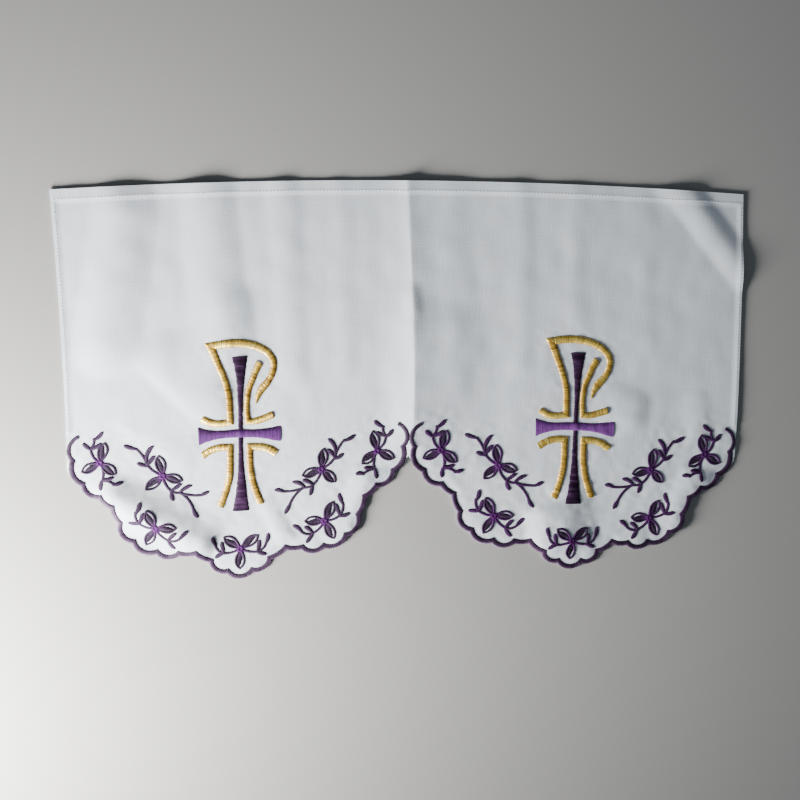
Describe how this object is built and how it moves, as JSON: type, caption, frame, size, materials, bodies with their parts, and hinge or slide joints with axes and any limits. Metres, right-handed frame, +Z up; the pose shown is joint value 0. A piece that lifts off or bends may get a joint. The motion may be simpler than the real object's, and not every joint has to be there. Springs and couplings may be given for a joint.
{
  "type": "altar cloth",
  "caption": "White altar cloth lying flat in soft folds, with a scalloped hem, a plum satin edging, flower sprigs, and gold and purple crosses.",
  "frame": {"origin": "on the surface that the cloth rests on, under the middle of its box", "axes": "+Z up out of the embroidered face, +X across the cloth, towards the right of the scalloped edge as it is seen with that edge at the bottom, +Y from the scalloped edge towards the plain top edge"},
  "size_m": [0.6011, 0.3536, 0.0082],
  "materials": {
    "cloth": "woven white cloth with a dull face",
    "edging": "dark plum satin stitch",
    "gold": "gold satin stitch",
    "crossbar": "bright purple satin stitch",
    "upright": "dark purple satin stitch",
    "sprig": "dark plum satin stitch"
  },
  "bodies": {
    "root": {"cloth": "cloth", "edging_left": "edging", "edging_right": "edging", "left_gold_loop": "gold", "left_gold_spur": "gold", "left_gold_foot_west": "gold", "left_gold_foot_east": "gold", "left_crossbar": "crossbar", "left_upright": "upright", "left_sprig_side_east": "sprig", "left_sprig_side_west": "sprig", "left_sprig_far_east": "sprig", "left_sprig_far_west": "sprig", "left_sprig_low_east": "sprig", "left_sprig_low_west": "sprig", "left_sprig_middle": "sprig", "right_gold_loop": "gold", "right_gold_spur": "gold", "right_gold_foot_west": "gold", "right_gold_foot_east": "gold", "right_crossbar": "crossbar", "right_upright": "upright", "right_sprig_side_east": "sprig", "right_sprig_side_west": "sprig", "right_sprig_far_east": "sprig", "right_sprig_far_west": "sprig", "right_sprig_low_east": "sprig", "right_sprig_low_west": "sprig", "right_sprig_middle": "sprig"}
  },
  "joints": []
}
